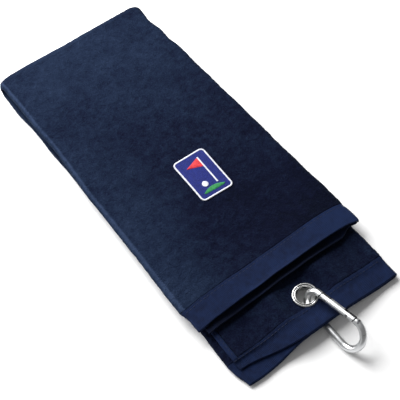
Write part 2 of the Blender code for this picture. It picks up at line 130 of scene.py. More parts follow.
class Shader:
    """A node material: a Principled shader and short ways to add to it."""

    def __init__(self, name, **sockets):
        self.material = bpy.data.materials.new(name)
        self.material.use_nodes = True
        self.tree = self.material.node_tree
        self.main = self.tree.nodes["Principled BSDF"]
        for socket, value in sockets.items():
            self.main.inputs[socket.replace("_", " ")].default_value = value

    def node(self, kind, sockets=None, **settings):
        made = self.tree.nodes.new(kind)
        for key, value in settings.items():
            setattr(made, key, value)
        for socket, value in (sockets or {}).items():
            made.inputs[socket].default_value = value
        return made

    def link(self, source, target):
        self.tree.links.new(source, target)

    def feed(self, socket, value):
        self.link(value, self.main.inputs[socket])

    def coords(self, kind="Object", scale=(1, 1, 1)):
        place = self.node("ShaderNodeTexCoord")
        move = self.node("ShaderNodeMapping", {"Scale": scale})
        self.link(place.outputs[kind], move.inputs["Vector"])
        return move.outputs["Vector"]

    def noise(self, vector, scale, detail=3.0, rough=0.55):
        made = self.node("ShaderNodeTexNoise",
                         {"Scale": scale, "Detail": detail, "Roughness": rough})
        self.link(vector, made.inputs["Vector"])
        return made.outputs["Fac"]

    def wave(self, vector, pitch, direction, wobble):
        """Threads a pitch apart (metres where the vector is in metres)."""
        made = self.node("ShaderNodeTexWave", {"Scale": 0.314159 / pitch, "Distortion": wobble,
                                               "Detail": 1.0}, bands_direction=direction)
        self.link(vector, made.inputs["Vector"])
        return made.outputs["Fac"]

    def ramp(self, fac, *stops):
        made = self.node("ShaderNodeValToRGB")
        ramp = made.color_ramp
        while len(ramp.elements) < len(stops):
            ramp.elements.new(0.5)
        for element, (place, colour) in zip(ramp.elements, stops):
            element.position = place
            element.color = (*colour, 1.0)
        self.link(fac, made.inputs["Fac"])
        return made.outputs["Color"]

    def math(self, operation, a, b):
        made = self.node("ShaderNodeMath", operation=operation)
        for socket, value in ((made.inputs[0], a), (made.inputs[1], b)):
            if isinstance(value, (int, float)):
                socket.default_value = value
            else:
                self.link(value, socket)
        return made.outputs[0]

    def weighted(self, *parts):
        """The sum of (value, share) pairs."""
        total = None
        for value, share in parts:
            part = self.math("MULTIPLY", value, share)
            total = part if total is None else self.math("ADD", total, part)
        return total

    def split(self, vector):
        made = self.node("ShaderNodeSeparateXYZ")
        self.link(vector, made.inputs["Vector"])
        return made.outputs

    def fade(self, value, start, stop, low=0.0, high=1.0, curve="SMOOTHSTEP"):
        """A value that goes from low at start to high at stop, and stays there."""
        made = self.node("ShaderNodeMapRange", {"From Min": start, "From Max": stop, "To Min": low,
                                                "To Max": high}, interpolation_type=curve)
        self.link(value, made.inputs["Value"])
        return made.outputs["Result"]

    def bump(self, height, distance, strength=1.0, normal=None):
        made = self.node("ShaderNodeBump", {"Distance": distance, "Strength": strength})
        self.link(height, made.inputs["Height"])
        if normal is not None:
            self.link(normal, made.inputs["Normal"])
        return made.outputs["Normal"]


def velour(name, *stops, falloff_floor=-0.18, left_painted_light=1.5):
    """Sheared cotton terry: pile brushed light and dark in patches, fine tufts, a soft rim sheen,
    and painted light and shade.
    """
    s = Shader(name, Roughness=0.95, Sheen_Weight=0.035, Sheen_Roughness=0.42,
               Sheen_Tint=(0.34, 0.66, 1.0, 1.0), Specular_IOR_Level=0.05)
    place = s.coords()
    # painted light: lighter towards the half fold, nearer the key light, and a painted highlight
    # down the left side near the hem
    along, across, _ = s.split(place)
    painted_left_light = s.math("MULTIPLY", s.fade(across, -12 * MM, -64 * MM),
                     s.math("MULTIPLY", s.math("ADD", along, 0.10), left_painted_light))
    # painted shade towards the right side
    painted_right_shade = s.math("MULTIPLY", s.math("MAXIMUM", across, 0.0), -1.0)
    painted_falloff = s.math("MINIMUM", s.math("MULTIPLY", along, FALLOFF_SLOPE), FALLOFF_MOST)
    painted_falloff = s.math("ADD", painted_falloff, painted_right_shade)
    patches = s.noise(place, 16.0, 3.0, 0.5)
    mottle = s.noise(place, 170.0, 4.0, 0.75)
    tufts = s.noise(place, 950.0, 3.0, 0.75)
    tone = s.weighted((patches, 0.40), (mottle, 0.62), (tufts, 0.60))
    # the painted light and shade go into the pile's tone
    painted_light = s.math("ADD", s.math("MAXIMUM", painted_falloff, falloff_floor), painted_left_light)
    tone = s.math("ADD", tone, s.math("SUBTRACT", painted_light, PAINTED_LIGHT_REST))
    # a painted highlight along the crest of a side fold
    from_crest = s.math("SUBTRACT", s.split(s.coords("UV"))["X"], CREST_U * MM)
    crest_highlight = s.fade(s.math("ABSOLUTE", from_crest, 0.0), CREST_HIGHLIGHT_W * MM, 0.0, high=CREST_HIGHLIGHT_GAIN)
    tone = s.math("ADD", tone, crest_highlight)
    s.feed("Base Color", s.ramp(tone, *stops))
    coarse = s.bump(mottle, 0.0022, 0.8)
    s.feed("Normal", s.bump(tufts, 0.0009, 1.0, coarse))
    return s.material


def flat_weave(name, deep, light, pitch, right_gain=0.0, inner_painted_shade=0.0):
    """Flat-woven hem: a plain weave seen as crossing ribs, with slubs."""
    s = Shader(name, Roughness=0.85, Sheen_Weight=0.03, Sheen_Roughness=0.4,
               Sheen_Tint=(0.34, 0.62, 1.0, 1.0), Specular_IOR_Level=0.15)
    flat = s.coords("UV")
    place = s.coords()
    across = s.wave(flat, pitch, "X", 0.6)
    along = s.wave(flat, pitch * 0.8, "Y", 0.6)
    cloth = s.math("MULTIPLY", s.math("ADD", across, along), 0.5)
    slubs = s.noise(place, 260.0, 3.0, 0.6)
    patches = s.noise(place, 40.0, 2.0, 0.5)
    # a little lighter towards the right end
    rightward = s.math("MAXIMUM", s.math("SUBTRACT", s.split(place)["Y"], 20 * MM), 0.0)
    tone = s.weighted((cloth, 0.45), (slubs, 0.75), (patches, 0.3), (rightward, right_gain))
    # painted shade: the inner panel, which lies in the mouth's shadow, is darker
    tone = s.math("ADD", tone, s.fade(s.split(flat)["X"], 262 * MM, 272 * MM, high=-inner_painted_shade))
    shade = tuple(0.32 * part for part in deep)
    s.feed("Base Color", s.ramp(tone, (0.10, shade), (0.55, deep), (0.95, light)))
    base = s.bump(slubs, 0.0003, 0.5)
    s.feed("Normal", s.bump(cloth, 0.00035, 0.9, base))
    return s.material


def thread(name, dark, light, rough=0.45):
    """Rayon or polyester sewing thread, twisted, with a silky sheen."""
    s = Shader(name, Roughness=rough, Sheen_Weight=0.04, Sheen_Roughness=0.3,
               Specular_IOR_Level=0.25)
    place = s.coords()
    fibres = s.noise(place, 2600.0, 2.0, 0.6)
    lots = s.noise(place, 500.0, 1.0, 0.5)
    tone = s.weighted((fibres, 0.5), (lots, 0.5))
    s.feed("Base Color", s.ramp(tone, (0.3, dark), (0.65, light)))
    s.feed("Normal", s.bump(fibres, 0.00008, 0.6))
    return s.material


def metal(name, colour, rough_low, rough_high, grain):
    """Metal with a fine grain, faint scuffs and uneven polish."""
    s = Shader(name, Metallic=1.0)
    place = s.coords()
    streaks = s.noise(s.coords("Object", grain), 1400.0, 3.0, 0.6)
    cloud = s.noise(place, 180.0, 3.0, 0.6)
    dull = tuple(0.86 * c for c in colour)
    tone = s.weighted((streaks, 0.4), (cloud, 0.6))
    s.feed("Base Color", s.ramp(tone, (0.3, dull), (0.7, colour)))
    s.feed("Roughness", s.fade(cloud, 0.3, 0.7, rough_low, rough_high, "LINEAR"))
    s.feed("Normal", s.bump(streaks, 0.02 * MM, 0.5))
    return s.material


NAVY_STOPS = ((0.24, (0.0014, 0.0021, 0.0085)), (0.42, (0.0031, 0.0043, 0.0162)),
              (0.60, (0.0070, 0.0126, 0.0315)), (0.78, (0.0125, 0.0215, 0.0480)),
              (1.00, (0.0260, 0.0410, 0.0850)))
PILE = velour("navy_velour", *NAVY_STOPS)
# the lower half: no painted falloff or right-side shade, and painted shade down its left side
LOWER_PILE = velour("navy_velour_lower", *NAVY_STOPS, falloff_floor=0.0, left_painted_light=-0.3)
HEM_LOOK = ((0.0017, 0.0057, 0.0260), (0.0050, 0.0145, 0.0560), 0.0009)
# the flap's hem: lighter towards the right end, and painted shade on its inner panel
HEM = flat_weave("navy_flat_weave", *HEM_LOOK, right_gain=5.0, inner_painted_shade=0.45)
LOWER_HEM = flat_weave("navy_flat_weave_lower", *HEM_LOOK)
NAVY_THREAD = thread("navy_thread", (0.0035, 0.006, 0.022), (0.008, 0.014, 0.042), 0.7)
BLUE_THREAD = thread("royal_blue_thread", (0.0040, 0.0095, 0.105), (0.0095, 0.0210, 0.205), 0.6)
WHITE_THREAD = thread("white_thread", (0.62, 0.64, 0.72), (0.90, 0.91, 0.95))
RED_THREAD = thread("red_thread", (0.35, 0.010, 0.018), (0.72, 0.045, 0.055))
GREEN_THREAD = thread("green_thread", (0.010, 0.12, 0.035), (0.035, 0.30, 0.09))
BRIGHT = metal("bright_nickel", (0.84, 0.84, 0.83), 0.22, 0.36, (1, 1, 1))
ALLOY = metal("satin_aluminium", (0.66, 0.67, 0.68), 0.26, 0.36, (0.05, 1, 1))
# dark steel for the pins, also painted shade in the carabiner's gaps and the grommet's crease
PIN_STEEL_AND_GAP_SHADE = metal("dark_pin_steel_and_gap_shade", (0.15, 0.15, 0.16), 0.30, 0.45, (1, 1, 1))
SPRING = metal("spring_steel", (0.45, 0.45, 0.46), 0.3, 0.42, (1, 1, 1))


def floor_material():
    """Pale sweep with a barely visible grain."""
    s = Shader("pale_floor", Roughness=0.9, Specular_IOR_Level=0.1)
    grain = s.noise(s.coords(), 60.0)
    s.feed("Base Color", s.ramp(grain, (0.3, (0.93, 0.93, 0.93)), (0.7, (0.96, 0.96, 0.96))))
    return s.material


FLOOR_HALF = 6.0
FLOOR_GAP = 0.35  # millimetres below the CAD's lowest point
floor_mesh = bpy.data.meshes.new("floor")
floor_mesh.from_pydata([(x * FLOOR_HALF, y * FLOOR_HALF, 0)
                        for x, y in ((-1, -1), (1, -1), (1, 1), (-1, 1))], [], [(0, 1, 2, 3)])
floor_mesh.materials.append(floor_material())
floor = added("floor", floor_mesh)
floor.location.z = cad_low.z - FLOOR_GAP * MM
floor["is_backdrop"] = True


# ---- the drape: smooth fields that move the flat stack to where cloth lies
# Lengths from here on are in millimetres; times MM they are the scene's metres.
FOLD_X, FOLD_Z = joints["half_fold"]["pos_m"][0] / MM, joints["half_fold"]["pos_m"][2] / MM
NOMINAL_HALF_W = 67.5
PILE_T = 2.2
PILE_PITCH = 2.5
HEM_T = 1.5
HEM_PITCH = 1.8
grommet_low, grommet_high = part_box("grommet_eyelet")
GROMMET_X = (grommet_low.x + grommet_high.x) / 2 / MM
GROMMET_Y = (grommet_low.y + grommet_high.y) / 2 / MM
LIFT = 6.0
CLAMPED_T = 2.5
PILE_STACK = 2 * PILE_PITCH + PILE_T
HEM_STACK = 2 * HEM_PITCH + HEM_T
FLAP_FROM, FLAP_OVER = 6.2, 2.6  # heights where the flat stack turns from lower half to flap
NOISE_CELLS = 128


def ease(t):
    t = np.clip(t, 0.0, 1.0)
    return t * t * (3 - 2 * t)


def hump(t):
    return np.exp(-t * t)


def value_noise(a, b, cell, seed):
    """Smooth noise from -1 to 1 over the flat cloth."""
    table = np.random.RandomState(seed).rand(NOISE_CELLS, NOISE_CELLS) * 2 - 1
    fa, fb = np.asarray(a) / cell, np.asarray(b) / cell
    ia, ib = np.floor(fa).astype(int), np.floor(fb).astype(int)
    da, db = ease(fa - ia), ease(fb - ib)

    def corner(i, j):
        return table[(ia + i) % NOISE_CELLS, (ib + j) % NOISE_CELLS]

    low = corner(0, 0) * (1 - da) + corner(1, 0) * da
    high = corner(0, 1) * (1 - da) + corner(1, 1) * da
    return low * (1 - db) + high * db


def clamp_share(x, y, stack):
    """Share of its free thickness that the stack keeps near the grommet."""
    reach = np.hypot(x - GROMMET_X, y - GROMMET_Y)
    return CLAMPED_T / stack + (1 - CLAMPED_T / stack) * ease((reach - 10.5) / 14)


def lift(x, y):
    """Height of the cloth's underside over the carabiner's spine."""
    along = ease((x - (GROMMET_X - 25)) / 15)
    return LIFT * along * ease((y + 42) / 28) * ease((58 - y) / 42)


def left_edge(x, upper):
    """How far the left side fold stands out from the nominal one."""
    flap = -3.0 + 3.0 * ease((x + 75) / 60) + 2.6 * ease((x + 10) / 115)
    flap = flap - 1.9 * ease((x - 95) / 10)
    flap = flap + 0.35 * np.sin(x / 9.0) * hump((x + 105) / 40)
    lower = -2.8 - 2.0 * ease((x - 148) / 12) + 0.5 * hump((x - 143) / 2.5)
    lower = lower + 1.3 * hump((x - 130) / 18)
    lower = lower + 0.9 * hump((x + 135) / 22) - 0.4 * hump((x + 112) / 8)
    lower = lower + 0.3 * np.sin(x / 7.0)
    return flap * upper + lower * (1 - upper)


def right_edge(x, upper):
    """How far the right side fold stands out from the nominal one."""
    flap = 1.3 * ease((x + 130) / 40) + 3.4 * ease((x + 150) / 260) ** 1.5
    flap = flap - 0.5 * hump((x - 30) / 50)
    flap = flap - 1.5 * hump((x + 134) / 8) - 0.7 * hump((x + 108) / 5.5)
    flap = flap - 0.5 * hump((x - 97) / 3.2) + 0.2 * np.sin(x / 5.3)
    lower = 0.6 - 0.5 * ease((x - 139) / 5)
    return flap * upper + lower * (1 - upper)


def drape(x, y, z, stack=PILE_STACK):
    """Where a point of the flat, folded stack lies in the finished towel."""
    upper = ease((z - FLAP_FROM) / FLAP_OVER)
    on_lower = 1 - upper
    # side folds
    share = (y / NOMINAL_HALF_W + 1) / 2
    near_right = 0.6 * np.clip(share, 0, 1) ** 3 + 0.4 * np.exp((y - NOMINAL_HALF_W) / 9)
    near_left = 0.6 * np.clip(1 - share, 0, 1) ** 3 + 0.4 * np.exp((-y - NOMINAL_HALF_W) / 9)
    new_y = y + right_edge(x, upper) * near_right - left_edge(x, upper) * near_left
    # rounded corners of the far fold, and the hems' soft lines
    corner = np.clip((-y - 58.5) / 9, 0, 1)
    retreat = 0.5 * ease((-y - 40) / 20) + 4.2 * (1 - np.sqrt(1 - corner * corner))
    retreat = retreat + 2.4 * ease((y - 60) / 7.5)
    new_x = x + retreat * ease((-128 - x) / 26) - 0.7 * ease((FOLD_X - x) / 3)
    flap_end = ease((x - 70) / 40) * upper
    new_x = new_x - flap_end * (1.2 + 1.3 * ease((y - 5) / 35) - 1.5 * ease((y - 58) / 9))
    new_x = new_x + flap_end * 0.5 * value_noise(y, 0 * y, 17.0, 5)
    new_x = new_x + on_lower * ease((x - 140) / 18) * 0.7 * ease((y + 70) / 20)
    # heights: squeezed by the grommet, pressed by the gate, lifted by the carabiner's
    # spine, and soft swells
    below = 1 - ease((z - 7.55) / 0.25)
    pressed = 0.17 * hump((y - 18) / 24) * ease((x - 130) / 8)
    new_z = z * (1 - below * (1 - clamp_share(x, y, stack) * (1 - pressed)))
    reach = np.hypot(x - GROMMET_X, y - GROMMET_Y)
    new_z = new_z + lift(x, y) * (0.9 + 0.1 * below - 0.06 * ease((reach - 10) / 6))
    swell = 0.75 * value_noise(x + 300, y + 300, 58.0, 11)
    swell = swell + 0.35 * value_noise(x + 300, y + 300, 23.0, 12)
    new_z = new_z + swell * np.clip(z / (2 * FOLD_Z), 0, 1.2) ** 1.5 * ease((reach - 16) / 16)
    # the flap's left fold sags where nothing holds it up
    new_z = new_z - 2.0 * ease((-y - 52) / 15) * ease((z - 8) / 5)
    # its top layer stands open at the mouth
    mouth = ease((x - 62) / 50) * ease((y + 66) / 48) * ease((70 - y) / 26)
    new_z = new_z + 3.0 * mouth * ease((z - 11.5) / 2.0)
    return new_x, new_y, new_z


# ---- cloth meshes
PANEL_B_INSET = 5.2
PANEL_C_INSET = 9.1  # the top panel's pile; its side hem goes on to HEM_C_INSET
HEM_C_INSET = 4.9


def spread(start, stop, step):
    count = max(2, int(round(abs(stop - start) / step)))
    return np.linspace(start, stop, count + 1)


def folded_section(levels, thickness, fine_a, fine_b, fine_c, arc_steps=(9, 14),
                   inset_c=PANEL_C_INSET):
    """Mid line of the thirds fold, from panel B's free edge to panel C's.

    Columns: y, height in the stack, normal y, normal height, length along
    the cloth, distance to the nearest free edge.
    """
    q_a, q_b, q_c = levels
    r_b, r_c = (q_b - q_a) / 2, (q_c - q_a) / 2
    left = -NOMINAL_HALF_W + r_b + thickness / 2
    right = NOMINAL_HALF_W - r_c - thickness / 2
    rows = []
    for y in spread(NOMINAL_HALF_W - PANEL_B_INSET, left, fine_b):
        rows.append((y, q_b, 0.0, 1.0))
    for turn in np.linspace(0, math.pi, arc_steps[0] + 1)[1:-1]:
        ny, nq = -math.sin(turn), math.cos(turn)
        rows.append((left + r_b * ny, (q_a + q_b) / 2 + r_b * nq, ny, nq))
    for y in spread(left, right, fine_a):
        rows.append((y, q_a, 0.0, -1.0))
    for turn in np.linspace(0, math.pi, arc_steps[1] + 1)[1:-1]:
        ny, nq = math.sin(turn), -math.cos(turn)
        rows.append((right + r_c * ny, (q_a + q_c) / 2 + r_c * nq, ny, nq))
    for y in spread(right, -NOMINAL_HALF_W + inset_c, fine_c):
        rows.append((y, q_c, 0.0, 1.0))
    path = np.array(rows)
    steps = np.hypot(np.diff(path[:, 0]), np.diff(path[:, 1]))
    along = np.concatenate(([0], np.cumsum(steps)))
    edge = np.minimum(along, along[-1] - along)
    return np.column_stack((path, along, edge))


def strip_section(start, stop, level, step):
    ys = spread(start, stop, step)
    along = np.abs(ys - start)
    edge = np.minimum(along, along[-1] - along)
    ones = np.ones_like(ys)
    return np.column_stack((ys, level * ones, 0 * ones, ones, along, edge))


def rounding(distance, radius):
    """Thickness share near a rounded edge."""
    inside = np.clip(1 - distance / radius, 0, 1)
    return np.maximum(np.sqrt(1 - inside * inside), 0.12)


def end_rows(start, stop, step):
    """Rows along the cloth, closer together at its rounded end."""
    inner = spread(start, stop - 2.4, step)
    return np.concatenate((inner, stop - np.array([1.7, 1.1, 0.7, 0.35, 0.12]), [stop]))


def cloth_mesh(name, face, back, flat_u, flat_v, material, gone=None):
    """One closed mesh from the cloth's face and back grids (rows, columns, 3).

    gone marks the grid cells left out for a hole; its wall joins face and back.
    """
    rows, columns = face.shape[:2]
    count = rows * columns
    grid = np.arange(count).reshape(rows, columns)
    kept = np.ones((rows - 1, columns - 1), bool) if gone is None else ~gone
    a, b = grid[:-1, :-1][kept], grid[:-1, 1:][kept]
    c, d = grid[1:, 1:][kept], grid[1:, :-1][kept]
    # a rim edge has one kept cell beside it
    padded = np.pad(kept, 1)
    starts, stops = [], []
    for low, high, before, after in (
            (grid[:, :-1], grid[:, 1:], padded[:-1, 1:-1], padded[1:, 1:-1]),
            (grid[1:, :], grid[:-1, :], padded[1:-1, :-1], padded[1:-1, 1:])):
        opening = after & ~before
        closing_rim = before & ~after
        starts.extend((low[opening], high[closing_rim]))
        stops.extend((high[opening], low[closing_rim]))
    start, stop = np.concatenate(starts), np.concatenate(stops)
    faces = np.concatenate((np.column_stack((a, b, c, d)),
                            np.column_stack((d, c, b, a)) + count,
                            np.column_stack((stop, start, start + count, stop + count))))
    points = np.concatenate((face.reshape(-1, 3), back.reshape(-1, 3))) * MM
    middle = faces[len(a) // 2]
    corner = points[middle]
    turn = np.cross(corner[1] - corner[0], corner[2] - corner[0])
    outward = (face - back).reshape(-1, 3)[middle[0]]
    if turn @ outward < 0:
        faces = faces[:, ::-1]
    flat = np.column_stack((flat_u.ravel(), flat_v.ravel())) * MM
    flat = np.concatenate((flat, flat))
    if gone is not None:
        used = np.unique(faces)
        place = np.zeros(len(points), int)
        place[used] = np.arange(len(used))
        faces, points, flat = place[faces], points[used], flat[used]
    thing = quad_mesh(name, points, faces, material)
    layer = thing.data.uv_layers.new(name="cloth")
    layer.data.foreach_set("uv", flat[faces.ravel()].astype(np.float32).ravel())
    return thing


def quad_mesh(name, points, faces, material, sharp=70):
    """A smooth object from an array of points in metres and one of quads."""
    mesh = bpy.data.meshes.new(name)
    mesh.vertices.add(len(points))
    mesh.vertices.foreach_set("co", points.astype(np.float32).ravel())
    mesh.loops.add(faces.size)
    mesh.loops.foreach_set("vertex_index", faces.astype(np.int32).ravel())
    mesh.polygons.add(len(faces))
    mesh.polygons.foreach_set("loop_start", np.arange(0, faces.size, 4, dtype=np.int32))
    mesh.polygons.foreach_set("loop_total", np.full(len(faces), 4, dtype=np.int32))
    mesh.update(calc_edges=True)
    mesh.shade_smooth()
    mesh.set_sharp_from_angle(angle=math.radians(sharp))
    mesh.materials.append(material)
    return added(name, mesh)


def tubes(name, paths, radii, material, sides=6):
    """Round threads or wires, one along each path: paths (count, rings, 3) in mm.

    radii is (rings,) or (count, rings); the tubes' ends are left open.
    """
    paths = np.asarray(paths, float)
    count, rings = paths.shape[:2]
    radii = np.broadcast_to(radii, (count, rings))
    ahead = np.gradient(paths, axis=1)
    ahead /= np.linalg.norm(ahead, axis=2, keepdims=True) + 1e-12
    side = np.cross(ahead, np.array((0.0, 0.0, 1.0)))
    side /= np.linalg.norm(side, axis=2, keepdims=True) + 1e-12
    over = np.cross(side, ahead)
    turn = np.arange(sides) * 2 * math.pi / sides
    ring = (paths[:, :, None] + radii[:, :, None, None]
            * (side[:, :, None] * np.cos(turn)[None, None, :, None]
               + over[:, :, None] * np.sin(turn)[None, None, :, None]))
    grid = np.arange(count * rings * sides).reshape(count, rings, sides)
    after = np.roll(grid, -1, axis=2)
    faces = np.stack((grid[:, :-1], grid[:, 1:], after[:, 1:], after[:, :-1]), axis=-1)
    return quad_mesh(name, ring.reshape(-1, 3) * MM, faces.reshape(-1, 4), material)


def pile_relief(u, v, seed):
    """Tufts, brushed patches and soft creases of the pile, in millimetres."""
    return (0.15 * value_noise(u, v, 2.6, seed) + 0.10 * value_noise(u, v, 1.3, seed + 1)
            + 0.15 * value_noise(u, v, 8.5, seed + 2))


def hem_relief(u, v, seed):
    return 0.05 * value_noise(u, v, 5.0, seed) + 0.03 * value_noise(u, v, 1.6, seed + 1)


HOLE_R = 7.0
FAR = 99.0  # a distance at which an end isn't rounded any more
FACE_SEED, BACK_SEED = 21, 61


def sheet_piece(name, section, rows, thickness, place, material, relief=pile_relief,
                round_stop=True, flat_v=None, shape=None, stack=PILE_STACK, hole=False,
                end_round=0.4):
    """Bend a section along rows, give it thickness and relief, and drape it.

    place(row, y, q) gives x, z and the x and z of a unit step up the stack.
    """
    y, q, ny, nq, along, edge = (column[None, :] for column in section.T)
    row = rows[:, None]
    v = row if flat_v is None else flat_v(row)
    from_end = np.abs(rows - rows[-1]) if round_stop else np.full_like(rows, FAR)
    half = (thickness / 2 * rounding(edge, thickness * 0.5)
            * rounding(from_end[:, None], thickness * end_round))
    q = q + 0 * row
    if shape is not None:
        q = shape(row, y, q)
    gone = None
    if hole:
        # grid points inside the hole move out to its rim, or go with their cells
        x_flat, y_flat = place(row, y, q)[0] + 0 * q, y + 0 * q
        reach = np.hypot(x_flat - GROMMET_X, y_flat - GROMMET_Y)
        inside = reach < HOLE_R
        gone = inside[:-1, :-1] & inside[1:, :-1] & inside[:-1, 1:] & inside[1:, 1:]
        push = np.where(inside, HOLE_R / np.maximum(reach, 0.1), 1.0)
    sides = []
    for side, seed in ((1, FACE_SEED), (-1, BACK_SEED)):
        rough = relief(along + 0 * row, v + 0 * y, seed) * np.minimum(1, 2 * half / thickness)
        tall = side * (half + rough)
        x, z, up_x, up_z = place(row, y, q)
        x, y_all = x + tall * nq * up_x, y + tall * ny + 0 * row
        if hole:
            x = GROMMET_X + (x - GROMMET_X) * push
            y_all = GROMMET_Y + (y_all - GROMMET_Y) * push
        points = drape(x, y_all, z + tall * nq * up_z, stack)
        sides.append(np.stack(points, axis=-1))
    return cloth_mesh(name, *sides, along + 0 * row, v + 0 * along, material, gone)


def on_lower(row, y, q):
    return row + 0 * y, q, 0 * q, 1 + 0 * q


def on_flap(row, y, q):
    return row + 0 * y, 2 * FOLD_Z - q, 0 * q, -1 + 0 * q


def round_fold(row, y, q):
    reach = FOLD_Z - q
    return (FOLD_X - reach * np.sin(row), FOLD_Z - reach * np.cos(row),
            np.sin(row) + 0 * y, np.cos(row) + 0 * y)


PILE_START = FOLD_X + 0.15
LOWER_PILE_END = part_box("lower_cloth")[1].x / MM
HEM_FLARE = 2.5  # how far the lower hem's under panels reach out at the left
LOWER_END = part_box("lower_end_hem")[1].x / MM - HEM_FLARE
FLAP_PILE_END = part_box("flap_cloth")[1].x / MM
FLAP_END = FLAP_PILE_END + 18.15
FOLD_RUN = 20.0  # flat length of the half fold, for the cloth's coordinates
coarse = 1.0


def declare(piece, body, slot, *nodes):
    """The body that a piece rides on and the CAD nodes it stands for; slot, the piece's finish, is
    not used.
    """
    if body:
        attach(piece, body)
    if nodes:
        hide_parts(*nodes)
    return piece


levels = (PILE_T / 2, PILE_T / 2 + PILE_PITCH, PILE_T / 2 + 2 * PILE_PITCH)
lower_section = folded_section(levels, PILE_T, 3.0, 5.0, 1.35 * coarse)
flap_section = folded_section(levels, PILE_T, 1.2 * coarse, 5.0, 2.0)

lower_cloth = sheet_piece(
    "towel_lower_half", lower_section, end_rows(PILE_START, LOWER_PILE_END, 1.35 * coarse),
    PILE_T, on_lower, LOWER_PILE, flat_v=lambda row: FOLD_X - row, hole=True, end_round=0.2)
flap_cloth = sheet_piece(
    "towel_flap", flap_section, end_rows(PILE_START, FLAP_PILE_END, 1.2 * coarse),
    PILE_T, on_flap, PILE, flat_v=lambda row: FOLD_RUN + row - FOLD_X, end_round=0.2)
declare(lower_cloth, "lower_half", "pile", "lower_cloth")
declare(flap_cloth, "flap", "pile", "flap_cloth")

# The half fold's bend, in strips, bent round the joint's axis and baked where they lie.
bend_section = folded_section(levels, PILE_T, 1.2 * coarse, 5.0, 1.35 * coarse)
bend_rows = np.linspace(0, math.pi, 24)
heights = bend_section[:, 1]
turn_b = int(np.argmax(heights < levels[1] - 1e-6)) - 1
flat_a = int(np.argmax(heights < levels[0] + 1e-6))
turn_c = len(heights) - 1 - int(np.argmax(heights[::-1] < levels[0] + 1e-6))
flat_c = int(np.argmax(heights > levels[2] - 1e-6))
cuts = [0, turn_b, (turn_b + flat_a) // 2, flat_a, turn_c]
cuts += [round(turn_c + (flat_c - turn_c) * part / 4) for part in (1, 2, 3, 4)]
cuts.append(len(heights) - 1)
for number, (first, last) in enumerate(zip(cuts, cuts[1:])):
    part = bend_section[first:last + 1]
    strip = sheet_piece(f"towel_half_fold_{number + 1}", part, bend_rows, PILE_T, round_fold,
                        PILE, round_stop=False, flat_v=lambda row: row / math.pi * FOLD_RUN)
    declare(strip, None, "pile", "half_fold_cloth")
    reach = max(FOLD_Z - part[:, 1].mean() - 0.35 * PILE_T * abs(part[:, 3]).mean(), 0.6)
    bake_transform(strip)

# ---- end hems: their heights follow the pile's at the inner edge, and close up
lower_hem_levels = tuple(HEM_T / 2 + 0.1 + HEM_PITCH * i for i in range(3))
LOWER_HEM_START = LOWER_PILE_END + 0.05
LOWER_HEM_W = LOWER_END - LOWER_HEM_START
FLAP_HEM_START = FLAP_PILE_END + 0.05
FLAP_HEM_W = FLAP_END - FLAP_HEM_START
hem_section = folded_section(levels, HEM_T, 0.9 * coarse, 3.0, 0.9 * coarse,
                             inset_c=HEM_C_INSET)
lower_hem_section = folded_section(levels, HEM_T, 2.0, 2.0, 0.9 * coarse, inset_c=HEM_C_INSET)


def closing(row, q, start, width, share):
    """Heights that go from the pile's to the hem's over the hem's first part."""
    flat = lower_hem_levels[0] + (q - levels[0]) / PILE_PITCH * HEM_PITCH
    blend = share * ease((row - start) / width)
    return q * (1 - blend) + flat * blend


def lower_hem_shape(row, y, q):
    return closing(row, q, LOWER_HEM_START, 6.0, 1.0)


def flap_hem_shape(row, y, q):
    level = closing(row, q, FLAP_HEM_START, 8.0, 0.6)
    level = level - 0.25 + 0.5 * ease((row - FLAP_HEM_START) / 7)
    # the lowest panel curls up a little in the mouth
    return level - 1.2 * ease((q - 4.2) / 1.5) * ease((row - FLAP_HEM_START - 6) / 12)


def lower_hem_place(row, y, q):
    side = ease((-10 - y) / 50)
    panel = np.clip((q - 1.0) / (2 * HEM_PITCH), 0, 1)
    on_top = ease((panel - 0.62) / 0.2)
    skew = side * (HEM_FLARE * (1 - on_top) - 9.0 * on_top)
    x = LOWER_HEM_START + (row - LOWER_HEM_START) * (LOWER_HEM_W + skew) / LOWER_HEM_W
    return x, q, 0 * q, 1 + 0 * q


def flap_hem_place(row, y, q):
    right = ease((y - 50) / 12)
    left = ease((-y - 50) / 12)
    panel = (q - levels[0]) / PILE_PITCH
    on_b = hump((panel - 0.75) / 0.22) * (1 - left)
    on_c = ease((panel - 0.95) / 0.35) * (1 - right)
    short = 4.0 * on_b - 5.4 * on_c
    x = FLAP_HEM_START + (row - FLAP_HEM_START) * (FLAP_HEM_W - short) / FLAP_HEM_W
    return x, 2 * FOLD_Z - q, 0 * q, -1 + 0 * q


def seam_groove(x, y, seam_x):
    """The seam pulls the cloth in and puckers it."""
    return (0.20 * hump((x - seam_x) / 0.8)
            + 0.10 * np.sin(y / 1.15 + 2 * np.sin(y / 9)) * hump((x - seam_x) / 4.5))


LOWER_SEAM_X = LOWER_HEM_START + 2.1
FLAP_SEAM_X = FLAP_HEM_START + 2.1
lower_hem = sheet_piece(
    "towel_lower_end_hem", lower_hem_section,
    end_rows(LOWER_HEM_START, LOWER_END, 0.9 * coarse), HEM_T, lower_hem_place, LOWER_HEM,
    relief=lambda u, v, seed: hem_relief(u, v, seed) - seam_groove(v, u, LOWER_SEAM_X),
    shape=lower_hem_shape, stack=HEM_STACK, hole=True)
flap_hem = sheet_piece(
    "towel_flap_end_hem", hem_section,
    end_rows(FLAP_HEM_START, FLAP_END, 0.9 * coarse), HEM_T, flap_hem_place, HEM,
    relief=lambda u, v, seed: hem_relief(u, v, seed) - seam_groove(v, u, FLAP_SEAM_X),
    shape=flap_hem_shape)
declare(lower_hem, "lower_half", "hem", "lower_end_hem")
declare(flap_hem, "flap", "hem", "flap_end_hem")

